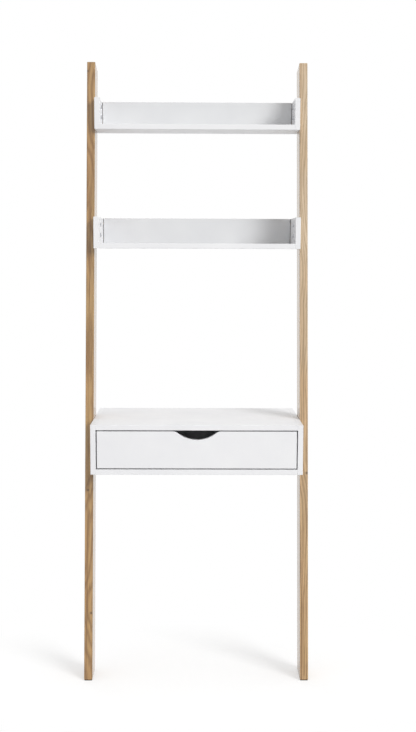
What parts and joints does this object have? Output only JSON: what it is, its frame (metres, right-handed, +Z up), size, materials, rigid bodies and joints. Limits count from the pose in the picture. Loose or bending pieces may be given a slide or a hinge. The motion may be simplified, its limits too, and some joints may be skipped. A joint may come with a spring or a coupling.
{
  "type": "ladder desk",
  "caption": "Leaning ladder desk: oak side rails carry white shelf trays and a white desk box with a scooped drawer on roller runners; feet stand on the floor, back fixed to a wall.",
  "frame": {"origin": "on the floor, in the middle of the bounding box", "axes": "+X to the right seen from the front, +Y to the wall behind the desk, +Z up"},
  "size_m": [0.65, 0.3898, 1.7862],
  "materials": {
    "oak": "clear matt lacquer, straight grain",
    "white_lacquer": "white satin lacquer on board",
    "drawer_board": "white melamine",
    "beech": "plain fluted beech",
    "coated_steel": "white epoxy coat",
    "zinc_steel": "zinc plated",
    "nylon": "natural nylon",
    "felt_pad": "thin non-slip pad"
  },
  "bodies": {
    "frame": {"left_rail": "oak", "right_rail": "oak", "left_foot_pad": "felt_pad", "right_foot_pad": "felt_pad", "top_shelf_left_end": "white_lacquer", "top_shelf_right_end": "white_lacquer", "top_shelf_board": "white_lacquer", "top_shelf_back": "white_lacquer", "lower_shelf_left_end": "white_lacquer", "lower_shelf_right_end": "white_lacquer", "lower_shelf_board": "white_lacquer", "lower_shelf_back": "white_lacquer", "desk_left_side": "white_lacquer", "desk_right_side": "white_lacquer", "desk_top": "white_lacquer", "desk_bottom": "white_lacquer", "desk_back": "white_lacquer", "left_channel": "coated_steel", "right_channel": "coated_steel", "left_wall_bracket": "zinc_steel", "right_wall_bracket": "zinc_steel", "rail_bolts": "zinc_steel", "insert_nuts": "zinc_steel", "top_shelf_dowels": "beech", "lower_shelf_dowels": "beech", "desk_dowels": "beech", "channel_screws": "zinc_steel", "wall_bracket_screws": "zinc_steel", "front_roller_pins": "zinc_steel"},
    "drawer": {"drawer_front": "white_lacquer", "drawer_left_side": "drawer_board", "drawer_right_side": "drawer_board", "drawer_back": "drawer_board", "drawer_floor": "drawer_board", "left_drawer_runner": "coated_steel", "right_drawer_runner": "coated_steel", "drawer_dowels": "beech", "drawer_runner_screws": "zinc_steel", "drawer_back_screws": "zinc_steel", "rear_roller_pins": "zinc_steel"},
    "left_front_roller": {"left_front_roller": "nylon"},
    "right_front_roller": {"right_front_roller": "nylon"},
    "left_rear_roller": {"left_rear_roller": "nylon"},
    "right_rear_roller": {"right_rear_roller": "nylon"}
  },
  "joints": [
    {"name": "drawer_slide", "type": "slide", "parent": "frame", "child": "drawer", "axis": [0, -1, 0], "range_m": [0, 0.2195]},
    {"name": "left_front_roller_spin", "type": "hinge", "parent": "frame", "child": "left_front_roller", "pos_m": [-0.27995, -0.16587, 0.6446], "axis": [1, 0, 0], "continuous": true},
    {"name": "right_front_roller_spin", "type": "hinge", "parent": "frame", "child": "right_front_roller", "pos_m": [0.27995, -0.16587, 0.6446], "axis": [1, 0, 0], "continuous": true},
    {"name": "left_rear_roller_spin", "type": "hinge", "parent": "drawer", "child": "left_rear_roller", "pos_m": [-0.27955, 0.10787, 0.6453], "axis": [1, 0, 0], "continuous": true},
    {"name": "right_rear_roller_spin", "type": "hinge", "parent": "drawer", "child": "right_rear_roller", "pos_m": [0.27955, 0.10787, 0.6453], "axis": [1, 0, 0], "continuous": true}
  ],
  "couplings": [
    {"joint": "left_front_roller_spin", "follows": "drawer_slide", "rad_per_m": 125},
    {"joint": "right_front_roller_spin", "follows": "drawer_slide", "rad_per_m": 125},
    {"joint": "left_rear_roller_spin", "follows": "drawer_slide", "rad_per_m": 111.11},
    {"joint": "right_rear_roller_spin", "follows": "drawer_slide", "rad_per_m": 111.11}
  ]
}
